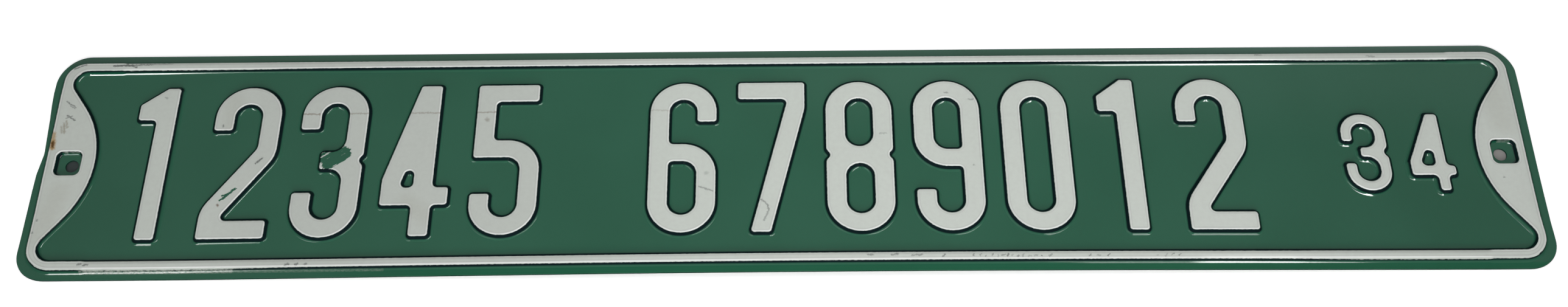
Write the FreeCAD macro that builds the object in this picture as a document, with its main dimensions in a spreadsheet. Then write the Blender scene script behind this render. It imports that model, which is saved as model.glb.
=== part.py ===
import FreeCAD, Part
import Sketcher
import math
import os

from FreeCAD import Vector

# An embossed steel street name sign: one sheet, pressed in one stroke, lying face up.
# X runs along the reading direction, Y towards the sign's top edge and Z out of its face.
# The origin is on the back of the sheet, in the middle of its length and height.
# Every raised form is a level top joined to the level field by leaning walls, and the back
# follows the front at the sheet's thickness, so the sign is hollow behind its forms.

SIZES = (
    ("sheet_length", 914.4, "36 in blade"),
    ("sheet_height", 152.4, "6 in blade"),
    ("sheet_gauge", 0.9, "20 gauge steel"),
    ("sheet_corner", 18.5, "radius of the sheet's corners"),
    ("emboss_height", 2.85, "rise of the raised forms above the field"),
    ("border_draft", 19.3, "lean of the walls of the border and end panels from upright, in degrees"),
    ("numeral_draft", 33.7, "lean of the numerals' walls from upright, in degrees"),
    ("rim_width", 6.45, "flat rim between the sheet's edge and the border's top"),
    ("band_width", 4.7, "flat top of the border"),
    ("pocket_radius", 7.5, "field corner beside an end panel"),
    ("flank_lean", 36.9, "lean of an end panel's straight flank from upright, in degrees"),
    ("flank_length", 16.4, "straight flank between the field corner and the panel's bow"),
    ("seat_length", 16.0, "sunk screw seat, along the sign"),
    ("seat_height", 16.4, "sunk screw seat, up the sign"),
    ("seat_cut", 2.4, "leg cut off the seat's corners"),
    ("seat_inset", 12.45, "seat's centre from the border's outer edge"),
    ("screw_hole", 8.0, "diameter of the screw hole"),
    ("screw_shift", 1.8, "hole's centre from the seat's, towards the middle of the sign"),
    ("screw_drop", 1.0, "hole's centre below the seat's"),
    ("large_height", 102.4, "large numerals"),
    ("large_width", 40.5, "large numerals"),
    ("large_stroke", 11.5, "large numerals"),
    ("large_gap", 13.5, "between two large numerals"),
    ("small_height", 51.5, "small numerals"),
    ("small_width", 26.5, "small numerals"),
    ("small_stroke", 6.0, "small numerals"),
    ("small_gap", 12.7, "between two small numerals"),
    ("tip_cut", 1.2, "leg cut off the corners at the ends of strokes"),
    ("waist_depth", 3.6, "notch between the bowls of a 3 or an 8"),
    ("text_margin", 15.15, "from an end panel's bow to the numeral next to it"),
    ("second_shift", 4.0, "second group's middle, right of halfway between the other two"),
    ("dent_depth", 1.8, "knock in the left end's edge"),
    ("dent_place", 8.0, "its deepest point above the middle of the sheet"),
    ("dent_above", 35.0, "its long slope above the deepest point"),
    ("dent_below", 14.0, "its short slope below the deepest point"),
)

doc = FreeCAD.newDocument("street_name_sign")
sheet = doc.addObject("Spreadsheet::Sheet", "Sizes")
for row, (alias, value, note) in enumerate(SIZES, start=1):
    sheet.set(f"A{row}", alias)
    sheet.set(f"B{row}", str(value))
    sheet.set(f"C{row}", note)
    sheet.setAlias(f"B{row}", alias)
doc.recompute()


def size(alias):
    return float(sheet.get(alias))


# How far from the middle of the sign the screw seats are.
seat_centre = size("sheet_length") / 2 - size("rim_width") - size("seat_inset")

# Outlines. An outline is a list of corners (x, y, radius), anticlockwise, at the top of the
# walls. SHARP corners have no radius, and TIP corners are cut straight across, in place of the
# small radius at the end of a stroke.

SHARP = 0
TIP = "tip"


def directions(outline, index):
    """Unit vectors into and out of a corner."""
    before = outline[index - 1]
    here = outline[index]
    after = outline[(index + 1) % len(outline)]
    into = Vector(here[0] - before[0], here[1] - before[1], 0).normalize()
    out = Vector(after[0] - here[0], after[1] - here[1], 0).normalize()
    return into, out


def cut_tips(outline, leg):
    """The outline with each tip as two sharp corners, a leg away from it on either side."""
    made = []
    for index, (x, y, corner) in enumerate(outline):
        if corner == TIP:
            into, out = directions(outline, index)
            made.append((x - into.x * leg, y - into.y * leg, SHARP))
            made.append((x + out.x * leg, y + out.y * leg, SHARP))
        else:
            made.append((x, y, corner))
    return made


def grown(outline, distance):
    """The outline moved outwards by a distance, with its round corners kept concentric."""
    moved = []
    for index, (x, y, radius) in enumerate(outline):
        into, out = directions(outline, index)
        reach = distance / (1 + into.dot(out))
        if radius:
            radius += math.copysign(distance, distance * into.cross(out).z)
        moved.append((x + (into.y + out.y) * reach, y - (into.x + out.x) * reach, radius))
    return moved


def drawn(outline):
    """Lines and arcs of an outline."""
    bends = []
    for index, (x, y, radius) in enumerate(outline):
        into, out = directions(outline, index)
        half_turn = into.getAngle(out) / 2
        corner = Vector(x, y, 0)
        leg = radius * math.tan(half_turn)
        inwards = (out - into).normalize()
        middle = corner + inwards * (radius / math.cos(half_turn) - radius)
        bends.append((corner - into * leg, middle, corner + out * leg))
    pieces = []
    for (start, middle, end), (following, _, _) in zip(bends, bends[1:] + bends[:1]):
        if not start.isEqual(end, 1e-6):
            pieces.append(Part.Arc(start, middle, end))
        if not end.isEqual(following, 1e-6):
            pieces.append(Part.LineSegment(end, following))
    return pieces


def moved_by(outline, dx, dy):
    return [(x + dx, y + dy, corner) for x, y, corner in outline]


def half_turned(outline, w, h):
    """The outline turned half round in a box of width w and height h."""
    return [(w - x, h - y, corner) for x, y, corner in outline]


# The sheet's edge, its border and its end panels


def rectangle(half_length, half_height, radius):
    return [
        (-half_length, -half_height, radius),
        (half_length, -half_height, radius),
        (half_length, half_height, radius),
        (-half_length, half_height, radius),
    ]


def sheet_outline():
    return rectangle(size("sheet_length") / 2, size("sheet_height") / 2, size("sheet_corner"))


def dent_outline():
    """The knock in the sheet's left end, as corners between its two left ones."""
    end = -size("sheet_length") / 2
    deepest = size("dent_place")
    return [
        (end, deepest + size("dent_above"), size("dent_above")),
        (end + size("dent_depth"), deepest, size("dent_below")),
        (end, deepest - size("dent_below"), size("dent_below")),
    ]


def field_outline():
    """The field inside the border, which the end panels bow into."""
    inset = size("rim_width") + size("band_width")
    half_length = size("sheet_length") / 2 - inset
    half_height = size("sheet_height") / 2 - inset
    pocket = size("pocket_radius")
    lean = math.radians(size("flank_lean"))
    # Where the flank leaves the pocket's arc, and where the panel's bow takes over from it.
    leave_x = half_length - pocket + pocket * math.cos(lean)
    leave_y = half_height - pocket - pocket * math.sin(lean)
    bow_x = leave_x - size("flank_length") * math.sin(lean)
    bow_y = leave_y - size("flank_length") * math.cos(lean)
    corner_x = leave_x + (half_height - leave_y) * math.tan(lean)
    right = [
        (corner_x, -half_height, pocket),
        (bow_x - bow_y * math.tan(lean), 0, bow_y / math.sin(lean)),
        (corner_x, half_height, pocket),
    ]
    return right + half_turned(right, 0, 0)


def bow_reach():
    """How far from the middle of the sign the bow of an end panel is."""
    bow_x, _, radius = field_outline()[1]
    return bow_x + radius / math.cos(math.radians(size("flank_lean"))) - radius


def seat_outlines():
    """The square seats round the screws, sunk back to the field's level."""
    square = rectangle(size("seat_length") / 2, size("seat_height") / 2, TIP)
    seat = cut_tips(square, size("seat_cut"))
    return [moved_by(seat, -seat_centre, 0), moved_by(seat, seat_centre, 0)]


# Numerals. Each stands in a box of width w and height h, with its lower left corner at the
# origin, and has strokes of width s. Each gives its outer outline and those of its counters.


def numeral_0(w, h, s):
    outer = [(0, 0, w / 2), (w, 0, w / 2), (w, h, w / 2), (0, h, w / 2)]
    return outer, [grown(outer, -s)]


def numeral_1(w, h, s):
    left = w / 2 - s / 4
    peak = left + s / 3
    flag = left - s
    flag_top = h - s
    flag_foot = flag_top - 0.9 * s
    outer = [
        (left, 0, TIP),
        (left + s, 0, TIP),
        (left + s, h, TIP),
        (peak, h, TIP),
        (flag, flag_top, TIP),
        (flag, flag_foot, TIP),
        (left, flag_foot, SHARP),
    ]
    return outer, []


def numeral_2(w, h, s):
    inner = w / 2 - s
    terminal = h - w / 2 - 0.8 * s
    knee = 0.56 * h
    heel = 0.16 * h
    # The leaning stroke is as wide as the upright one, so its two edges bend at other heights.
    slope = math.atan2(knee - heel, w - s)
    shift = s / 2 * (1 - math.cos(slope)) / math.sin(slope) - s / 2
    crotch = w - (knee + shift - s) / math.tan(slope)
    outer = [
        (0, 0, TIP),
        (w, 0, TIP),
        (w, s, TIP),
        (crotch, s, SHARP),
        (w, knee + shift, w / 2),
        (w, h, w / 2),
        (0, h, w / 2),
        (0, terminal, TIP),
        (s, terminal, TIP),
        (s, h - s, inner),
        (w - s, h - s, inner),
        (w - s, knee - shift, inner),
        (0, heel - shift, w / 2),
    ]
    return outer, []


def waist(w, h):
    """The notch in the right side of two bowls that meet at half height."""
    depth = size("waist_depth")
    return [(w, h / 2 - depth, SHARP), (w - depth, h / 2, SHARP), (w, h / 2 + depth, SHARP)]


def numeral_3(w, h, s):
    inner = w / 2 - s
    terminal = w / 2 + 0.8 * s
    outside = [(0, 0, w / 2), (w, 0, w / 2)] + waist(w, h) + [(w, h, w / 2), (0, h, w / 2)]
    upper_inside = [
        (0, h - terminal, TIP),
        (s, h - terminal, TIP),
        (s, h - s, inner),
        (w - s, h - s, inner),
        (w - s, (h + s) / 2, inner),
        ((w - s) / 2, (h + s) / 2, TIP),
    ]
    lower_inside = [(x, h - y, corner) for x, y, corner in reversed(upper_inside)]
    return outside + upper_inside + lower_inside, []


def numeral_4(w, h, s):
    bar = 0.2 * h
    bar_top = bar + s
    stem_right = w - 0.85 * s
    stem = stem_right - s
    top = stem - 0.1 * s
    foot = bar_top + s / 2
    outer = [
        (stem, 0, TIP),
        (stem_right, 0, TIP),
        (stem_right, bar, SHARP),
        (w, bar, TIP),
        (w, bar_top, TIP),
        (stem_right, bar_top, SHARP),
        (stem_right, h, TIP),
        (top, h, TIP),
        (0, foot, TIP),
        (0, bar, TIP),
        (stem, bar, SHARP),
    ]
    # The counter's leaning side runs a stroke's width inside the outer one.
    slope = math.atan2(h - foot, top)
    corner = s / math.sin(slope) - (foot - bar_top) / math.tan(slope)
    peak = bar_top + (stem - corner) * math.tan(slope)
    return outer, [[(corner, bar_top, SHARP), (stem, bar_top, SHARP), (stem, peak, SHARP)]]


def numeral_5(w, h, s):
    inner = w / 2 - s
    bowl_top = 0.62 * h
    terminal = w / 2 + 0.6 * s
    bar_end = w - s / 4
    outer = [
        (0, 0, w / 2),
        (w, 0, w / 2),
        (w, bowl_top, w / 2),
        (s, bowl_top, SHARP),
        (s, h - s, SHARP),
        (bar_end, h - s, TIP),
        (bar_end, h, TIP),
        (0, h, TIP),
        (0, bowl_top - s, TIP),
        (w - s, bowl_top - s, inner),
        (w - s, s, inner),
        (s, s, inner),
        (s, terminal, TIP),
        (0, terminal, TIP),
    ]
    return outer, []


def numeral_6(w, h, s):
    inner = w / 2 - s
    bowl_top = 0.58 * h
    terminal = h - w / 2 - 0.6 * s
    outer = [
        (0, 0, w / 2),
        (w, 0, w / 2),
        (w, bowl_top, w / 2),
        (s, bowl_top, SHARP),
        (s, h - s, inner),
        (w - s, h - s, inner),
        (w - s, terminal, TIP),
        (w, terminal, TIP),
        (w, h, w / 2),
        (0, h, w / 2),
    ]
    counter = [
        (s, s, inner),
        (w - s, s, inner),
        (w - s, bowl_top - s, inner),
        (s, bowl_top - s, SHARP),
    ]
    return outer, [counter]


def numeral_7(w, h, s):
    foot = 0.2 * w
    bar = h - s
    shoulder = bar - 0.6 * s
    slope = math.atan2(shoulder, w - foot - s)
    across = s / math.sin(slope)
    right = foot + across + shoulder / math.tan(slope)
    outer = [
        (foot, 0, TIP),
        (foot + across, 0, TIP),
        (right, shoulder, SHARP),
        (right, h, TIP),
        (0, h, TIP),
        (0, bar, TIP),
        (foot + bar / math.tan(slope), bar, SHARP),
    ]
    return outer, []


def numeral_8(w, h, s):
    inner = w / 2 - s
    right = [(w, 0, w / 2)] + waist(w, h) + [(w, h, w / 2)]
    lower = [
        (s, s, inner),
        (w - s, s, inner),
        (w - s, (h - s) / 2, inner),
        (s, (h - s) / 2, inner),
    ]
    return right + half_turned(right, w, h), [lower, moved_by(lower, 0, (h - s) / 2)]


def numeral_9(w, h, s):
    outer, counters = numeral_6(w, h, s)
    return half_turned(outer, w, h), [half_turned(counter, w, h) for counter in counters]


NUMERALS = (
    numeral_0,
    numeral_1,
    numeral_2,
    numeral_3,
    numeral_4,
    numeral_5,
    numeral_6,
    numeral_7,
    numeral_8,
    numeral_9,
)

# A plain counting row in two groups, and two small numerals after them.
GROUPS = (("12345", "large"), ("6789012", "large"), ("34", "small"))


def pitch(grade):
    return size(grade + "_width") + size(grade + "_gap")


def group_starts():
    """Where each group starts: one at either end of the field and one between them."""
    first, second, third = (len(digits) * pitch(grade) - size(grade + "_gap") for digits, grade in GROUPS)
    reach = bow_reach() - size("text_margin")
    halfway = (first - third) / 2
    return -reach, halfway + size("second_shift") - second / 2, reach - third


def numerals():
    """The outer outlines and the counters of all the sign's numerals, in their places."""
    outlines = []
    openings = []
    for start, (digits, grade) in zip(group_starts(), GROUPS):
        height = size(grade + "_height")
        for place, digit in enumerate(digits):
            outer, counters = NUMERALS[int(digit)](size(grade + "_width"), height, size(grade + "_stroke"))
            for found, kept in ([outer], outlines), (counters, openings):
                for outline in found:
                    cut = cut_tips(outline, size("tip_cut"))
                    kept.append(moved_by(cut, start + place * pitch(grade), -height / 2))
    return outlines, openings


# The sheet as a chain of features

panel = doc.addObject("PartDesign::Body", "sign_panel")
panel.Label = "sign_panel"
back_plane = next(plane for plane in panel.Origin.OriginFeatures if plane.Role == "XY_Plane")


def sketch(name, height, outlines=()):
    """A sketch level with the sheet, at a height that the size sheet works out."""
    made = panel.newObject("Sketcher::SketchObject", name)
    made.AttachmentSupport = (back_plane, [""])
    made.MapMode = "FlatFace"
    made.setExpression("AttachmentOffset.Base.z", height)
    for outline in outlines:
        made.addGeometry(drawn(outline), False)
    return made


def level_sketch(name, height, outlines, openings, distance):
    """Raised forms at one level of their walls, where they are wider by a distance."""
    wider = [grown(outline, distance) for outline in outlines]
    narrower = [grown(opening, -distance) for opening in openings]
    return sketch(name, height, wider + narrower)


def walls_between(kind, name, low, high):
    made = panel.newObject("PartDesign::" + kind, name)
    made.Profile = low
    made.Sections = [high]
    made.Ruled = True


def press_up(name, outlines, openings, draft_name):
    """Raise forms out of the sheet, with the hollow that the punch leaves behind them."""
    draft = math.radians(size(draft_name))
    wall_run = size("emboss_height") * math.tan(draft)
    # How far a wall's back lies inside its front in plan, where both meet the level sheet.
    back_inset = size("sheet_gauge") * (1 / math.cos(draft) - math.tan(draft))
    foot = level_sketch(name + "_foot", "Sizes.sheet_gauge", outlines, openings, wall_run)
    top_height = "Sizes.sheet_gauge + Sizes.emboss_height"
    top = level_sketch(name + "_top", top_height, outlines, openings, 0)
    walls_between("AdditiveLoft", name, foot, top)
    mouth = level_sketch(name + "_mouth", "0 mm", outlines, openings, wall_run - back_inset)
    ceiling = level_sketch(name + "_ceiling", "Sizes.emboss_height", outlines, openings, -back_inset)
    walls_between("SubtractiveLoft", name + "_hollow", mouth, ceiling)


blank = panel.newObject("PartDesign::Pad", "blank")
blank.Profile = sketch("blank_edge", "0 mm", [sheet_outline() + dent_outline()])
blank.setExpression("Length", "Sizes.sheet_gauge")
doc.recompute()

border = grown(sheet_outline(), -size("rim_width"))
press_up("border", [border], [field_outline()] + seat_outlines(), "border_draft")
doc.recompute()

press_up("numerals", *numerals(), "numeral_draft")
doc.recompute()

# Points of the screw sketch, each a number for its line or circle and one for the place on it.
ORIGIN = (-1, 1)
LEFT_CENTRE = (0, 3)
RIGHT_CENTRE = (1, 3)
SCREW_REACH = "Sizes.sheet_length / 2 - Sizes.rim_width - Sizes.seat_inset - Sizes.screw_shift"

screws = sketch("screw_circles", "0 mm")
holes = ((-1, LEFT_CENTRE, (LEFT_CENTRE, ORIGIN)), (1, RIGHT_CENTRE, (ORIGIN, RIGHT_CENTRE)))
for side, centre, (left, right) in holes:
    place = Vector(side * (seat_centre - size("screw_shift")), -size("screw_drop"), 0)
    screws.addGeometry(Part.Circle(place, Vector(0, 0, 1), size("screw_hole") / 2), False)
    rules = (
        (("Diameter", centre[0]), "Sizes.screw_hole"),
        (("DistanceX", *left, *right), SCREW_REACH),
        (("DistanceY", *centre, *ORIGIN), "Sizes.screw_drop"),
    )
    for rule, formula in rules:
        index = screws.addConstraint(Sketcher.Constraint(*rule, 1))
        screws.setExpression(f"Constraints[{index}]", formula)
drilled = panel.newObject("PartDesign::Pocket", "screw_holes")
drilled.Profile = screws
drilled.Type = "ThroughAll"
drilled.Reversed = True
doc.recompute()

for thing in doc.Objects:
    if "Invalid" in thing.State or "Error" in thing.State:
        raise RuntimeError(f"{thing.Name} didn't build: {thing.State}")
if panel.Shape.isNull() or not panel.Shape.isValid() or len(panel.Shape.Solids) != 1:
    raise RuntimeError("the sign isn't one valid solid")

os.makedirs("parts", exist_ok=True)
panel.Shape.exportStep(f"parts/{panel.Label}.step")
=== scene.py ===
import math
import random

import bpy
import numpy
from mathutils import Matrix, Vector, kdtree, noise
from mathutils.geometry import delaunay_2d_cdt


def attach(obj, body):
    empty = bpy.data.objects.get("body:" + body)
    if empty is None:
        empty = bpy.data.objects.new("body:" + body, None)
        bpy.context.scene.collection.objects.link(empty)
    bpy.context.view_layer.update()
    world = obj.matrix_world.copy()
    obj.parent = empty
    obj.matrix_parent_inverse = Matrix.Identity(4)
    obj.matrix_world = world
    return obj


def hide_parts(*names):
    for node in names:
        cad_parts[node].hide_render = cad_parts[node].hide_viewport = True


# An embossed enamelled street name sign, lying face up on a pale table. Lengths are in
# millimetres here, in the row frame, and become metres where a mesh or lamp is made.

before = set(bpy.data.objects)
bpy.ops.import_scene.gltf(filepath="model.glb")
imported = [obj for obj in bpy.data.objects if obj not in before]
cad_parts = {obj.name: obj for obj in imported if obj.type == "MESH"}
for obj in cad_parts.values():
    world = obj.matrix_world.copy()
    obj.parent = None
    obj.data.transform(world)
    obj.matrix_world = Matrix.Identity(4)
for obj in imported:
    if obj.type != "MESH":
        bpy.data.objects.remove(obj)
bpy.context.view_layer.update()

MM = 0.001

# The sheet's thickness, the rise of its pressed forms and how steep their walls are.
GAUGE = 0.9
RISE = 2.85
BORDER_SLOPE = math.radians(70.7)
NUMERAL_SLOPE = math.radians(56.3)

# The sheet, the rim outside the border, the border's top, and how much larger the border's
# lower corners are than its upper ones.
LENGTH = 914.4
HEIGHT = 152.4
CORNER = 18.5
RIM = 6.45
BAND = 4.7
LOWER_CORNER = 3.0

# The knock in the left edge: its depth, and the height and radius of its three corners.
KNOCK_DEPTH = 1.8
KNOCK_TOP = (43, 35)
KNOCK_MIDDLE = (8, 14)
KNOCK_BOTTOM = (-6, 14)

# An end panel: the field's corner beside it, and its straight flank up to the bow.
POCKET = 9.0
FLANK_LEAN = math.radians(36.9)
FLANK_LENGTH = 16.4

# The screw seats, and the holes in them, a little nearer to the sign's middle and lower.
SEAT_PLACE = 438.3
SEAT_HALF_LENGTH = 8.0
SEAT_HALF_HEIGHT = 8.2
SEAT_RADIUS = 3.7
HOLE_PLACE = 436.5
HOLE_DROP = 1.0
HOLE_RADIUS = 4.0

# The border is a crowned bead along the middle and nearly flat at the ends, where the panels'
# dies took over with a small step outwards. The last number is half that step's length along X.
CROWN = 0.3
FLAT_CROWN = 0.015
BEAD_END = 416.0
BEAD_STEP = 0.4
BEAD_STEP_HALF = 1.0

# The sheet's bow: its place and reach along X, its lift on the middle line and how much more
# lift each millimetre down from there has.
BOW_PLACE = 25.0
BOW_REACH = 400.0
BOW_LIFT = 3.0
BOW_TWIST = 0.03

# The sheet's ripples: their lengths along X and Y, which ripples they are, and their height.
BROAD_RIPPLES = (170, 90, 1.7, 0.16)
FINE_RIPPLES = (55, 45, 8.2, 0.03)

# How far out along X the sheet's ends and the border's ends lie from square, by height, and
# where along X that starts and is reached in full.
SHEET_LEFT = ((-70, 0.9), (-50, 0.5), (-12, 0.4), (0, 0.0), (33, 0.4), (54, 1.25), (70, 0.0))
SHEET_RIGHT = ((-70, 0.4), (-45, -0.2), (-15, 0.1), (30, 0.95), (56, 1.6), (70, -0.2))
BORDER_LEFT = ((-60, 0.6), (-35, 0.4), (-10, 0.7), (26, 0.8), (45, 1.2), (62, 0.9))
BORDER_RIGHT = ((-66, 0.0), (-54, -0.3), (-44, -0.7), (-20, -0.4), (10, 0.1), (56, 0.8), (64, 0.1))
PULL_START = 439
PULL_LENGTH = 10

# Radii of the shoulders and feet of the pressed walls, on the sheet's front, and the radii of
# the sheared edges there.
SHOULDER = 1.0
BORDER_FOOT = 1.8
NUMERAL_SHOULDER = 1.4
NUMERAL_FOOT = 2.0
SEAT_FOOT = 0.4
EDGE_RADIUS = 0.3
HOLE_EDGE_RADIUS = 0.1

# The reach of a point is its distance outwards from the top's edge. Level tops have the first
# of these and the level field has the second.
INNER_REACH = 1.6
FIELD_REACH = 5.0

# The sheared edge is dull, and painted dark with painted shade where its face leans more than this.
CUT_LEAN = math.radians(20)

# Steps across the crown, the shoulder and the foot of a pressed wall and over a sheared edge,
# with the crown's first station just beside its crest.
CROWN_STEPS = 4
SHOULDER_STEPS = 6
FOOT_STEPS = 7
EDGE_STEPS = 3
CREST = 0.05

# Steps along the walls: round a bend, with the least and the most turn, and on a straight. The
# last is the spacing of the points on the open field too, whose rows lie closer.
BEND_STEP = 1.2
LEAST_TURN = math.radians(6)
MOST_TURN = math.radians(18)
SPACING = 12.0
ROW_SPACING = SPACING * 0.87

# A bend is tight below this radius, and points nearer than the second number are one.
TIGHT = 10
NEAREST = 1e-3

# The numerals' outer and inner corners and the notches of the 3 and the 8.
TIP = "tip"
INSIDE = "inside"
TIP_RADIUS = 1.75
INSIDE_RADIUS = 3.2
WAIST = 3.6


# Outlines: lists of corners (x, y, radius), anticlockwise, at the top of the pressed walls.


def moved(outline, dx, dy):
    return [(x + dx, y + dy, r) for x, y, r in outline]


def turned(outline, w, h):
    return [(w - x, h - y, r) for x, y, r in outline]


def box_outline(half_x, half_y, radius):
    lower = [(-half_x, -half_y, radius), (half_x, -half_y, radius)]
    return lower + [(half_x, half_y, radius), (-half_x, half_y, radius)]


# Each numeral gives its outer outline and those of its counters. It stands in a box of width w
# and height h with its lower left corner at the origin, and its strokes are s wide.


def numeral_0(w, h, s):
    inner = w / 2 - s
    outer = [(0, 0, w / 2), (w, 0, w / 2), (w, h, w / 2), (0, h, w / 2)]
    return outer, [[(s, s, inner), (w - s, s, inner), (w - s, h - s, inner), (s, h - s, inner)]]


def numeral_1(w, h, s):
    left = w / 2 - s / 4
    flag = left - s
    flag_foot = h - 1.9 * s
    return [
        (left, 0, TIP),
        (left + s, 0, TIP),
        (left + s, h, TIP),
        (left + s / 3, h, TIP),
        (flag, h - s, TIP),
        (flag, flag_foot, TIP),
        (left, flag_foot, INSIDE),
    ], []


def numeral_2(w, h, s):
    inner = w / 2 - s
    terminal = h - w / 2 - 0.8 * s
    knee = 0.56 * h
    heel = 0.16 * h
    slope = math.atan2(knee - heel, w - s)
    shift = s / 2 * (1 - math.cos(slope)) / math.sin(slope) - s / 2
    crotch = w - (knee + shift - s) / math.tan(slope)
    return [
        (0, 0, TIP),
        (w, 0, TIP),
        (w, s, TIP),
        (crotch, s, INSIDE),
        (w, knee + shift, w / 2),
        (w, h, w / 2),
        (0, h, w / 2),
        (0, terminal, TIP),
        (s, terminal, TIP),
        (s, h - s, inner),
        (w - s, h - s, inner),
        (w - s, knee - shift, inner),
        (0, heel - shift, w / 2),
    ], []


def waist(w, h):
    return [(w, h / 2 - WAIST, WAIST), (w - WAIST, h / 2, INSIDE), (w, h / 2 + WAIST, WAIST)]


def numeral_3(w, h, s):
    inner = w / 2 - s
    terminal = w / 2 + 0.8 * s
    outside = [(0, 0, w / 2), (w, 0, w / 2)] + waist(w, h) + [(w, h, w / 2), (0, h, w / 2)]
    upper = [
        (0, h - terminal, TIP),
        (s, h - terminal, TIP),
        (s, h - s, inner),
        (w - s, h - s, inner),
        (w - s, (h + s) / 2, inner),
        ((w - s) / 2, (h + s) / 2, TIP),
    ]
    return outside + upper + [(x, h - y, r) for x, y, r in reversed(upper)], []


def numeral_4(w, h, s):
    bar = 0.2 * h
    stem = w - 1.85 * s
    top = stem - 0.1 * s
    foot = bar + 1.5 * s
    slope = math.atan2(h - foot, top)
    corner = s / math.sin(slope) - (foot - bar - s) / math.tan(slope)
    peak = bar + s + (stem - corner) * math.tan(slope)
    return [
        (stem, 0, TIP),
        (stem + s, 0, TIP),
        (stem + s, bar, INSIDE),
        (w, bar, TIP),
        (w, bar + s, TIP),
        (stem + s, bar + s, INSIDE),
        (stem + s, h, TIP),
        (top, h, TIP),
        (0, foot, TIP),
        (0, bar, TIP),
        (stem, bar, INSIDE),
    ], [[(corner, bar + s, INSIDE), (stem, bar + s, INSIDE), (stem, peak, INSIDE)]]


def numeral_5(w, h, s):
    inner = w / 2 - s
    bowl_top = 0.62 * h
    terminal = w / 2 + 0.6 * s
    bar_end = w - s / 4
    return [
        (0, 0, w / 2),
        (w, 0, w / 2),
        (w, bowl_top, w / 2),
        (s, bowl_top, INSIDE),
        (s, h - s, INSIDE),
        (bar_end, h - s, TIP),
        (bar_end, h, TIP),
        (0, h, TIP),
        (0, bowl_top - s, TIP),
        (w - s, bowl_top - s, inner),
        (w - s, s, inner),
        (s, s, inner),
        (s, terminal, TIP),
        (0, terminal, TIP),
    ], []


def numeral_6(w, h, s):
    inner = w / 2 - s
    bowl_top = 0.58 * h
    terminal = h - w / 2 - 0.6 * s
    return [
        (0, 0, w / 2),
        (w, 0, w / 2),
        (w, bowl_top, w / 2),
        (s, bowl_top, INSIDE),
        (s, h - s, inner),
        (w - s, h - s, inner),
        (w - s, terminal, TIP),
        (w, terminal, TIP),
        (w, h, w / 2),
        (0, h, w / 2),
    ], [[(s, s, inner), (w - s, s, inner), (w - s, bowl_top - s, inner), (s, bowl_top - s, INSIDE)]]


def numeral_7(w, h, s):
    foot = 0.2 * w
    shoulder = h - 1.6 * s
    slope = math.atan2(shoulder, w - foot - s)
    across = s / math.sin(slope)
    right = foot + across + shoulder / math.tan(slope)
    return [
        (foot, 0, TIP),
        (foot + across, 0, TIP),
        (right, shoulder, 2 * s),
        (right, h, TIP),
        (0, h, TIP),
        (0, h - s, TIP),
        (foot + (h - s) / math.tan(slope), h - s, INSIDE),
    ], []


def numeral_8(w, h, s):
    inner = w / 2 - s
    right = [(w, 0, w / 2)] + waist(w, h) + [(w, h, w / 2)]
    lower = [
        (s, s, inner),
        (w - s, s, inner),
        (w - s, (h - s) / 2, inner),
        (s, (h - s) / 2, inner),
    ]
    return right + turned(right, w, h), [lower, moved(lower, 0, (h - s) / 2)]


def numeral_9(w, h, s):
    outer, counters = numeral_6(w, h, s)
    return turned(outer, w, h), [turned(counter, w, h) for counter in counters]


NUMERALS = (
    numeral_0,
    numeral_1,
    numeral_2,
    numeral_3,
    numeral_4,
    numeral_5,
    numeral_6,
    numeral_7,
    numeral_8,
    numeral_9,
)

# Digits, where the group starts, then the numerals' width, height, stroke and gap.
GROUPS = (
    ("12345", -406.23, 40.5, 102.4, 11.5, 13.5),
    ("6789012", -82.85, 40.5, 102.4, 11.5, 13.5),
    ("34", 340.53, 26.5, 51.5, 6.0, 12.7),
)


def numerals():
    made = []
    for digits, start, w, h, s, gap in GROUPS:
        for place, digit in enumerate(digits):
            outer, counters = NUMERALS[int(digit)](w, h, s)
            x = start + place * (w + gap)
            placed = [moved(counter, x, -h / 2) for counter in counters]
            made.append((moved(outer, x, -h / 2), placed))
    return made


def sheet_outline():
    end = -LENGTH / 2
    knock = [(end, *KNOCK_TOP), (end + KNOCK_DEPTH, *KNOCK_MIDDLE), (end, *KNOCK_BOTTOM)]
    return box_outline(LENGTH / 2, HEIGHT / 2, CORNER) + knock


def stepped(outline):
    """The outline with points on its long sides where the bead starts and ends."""
    made = []
    for index, (x, y, r) in enumerate(outline):
        made.append((x, y, r))
        after_x, after_y, _ = outline[(index + 1) % len(outline)]
        if y == after_y:
            way = math.copysign(1, after_x - x)
            for end in (-BEAD_END, BEAD_END):
                made.append((way * (end - BEAD_STEP_HALF), y, 1))
                made.append((way * (end + BEAD_STEP_HALF), y, 1))
    return made


def border_outline():
    outline = box_outline(LENGTH / 2 - RIM, HEIGHT / 2 - RIM, CORNER - RIM)
    return stepped([(x, y, r if y > 0 else r + LOWER_CORNER) for x, y, r in outline])


def field_outline():
    half_x = LENGTH / 2 - RIM - BAND
    half_y = HEIGHT / 2 - RIM - BAND
    lean = FLANK_LEAN
    leave_x = half_x - POCKET + POCKET * math.cos(lean)
    leave_y = half_y - POCKET - POCKET * math.sin(lean)
    bow_x = leave_x - FLANK_LENGTH * math.sin(lean)
    bow_y = leave_y - FLANK_LENGTH * math.cos(lean)
    corner_x = leave_x + (half_y - leave_y) * math.tan(lean)
    right = [
        (corner_x, -half_y, POCKET),
        (bow_x - bow_y * math.tan(lean), 0, bow_y / math.sin(lean)),
        (corner_x, half_y, POCKET),
    ]
    return stepped(right + turned(right, 0, 0))


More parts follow.
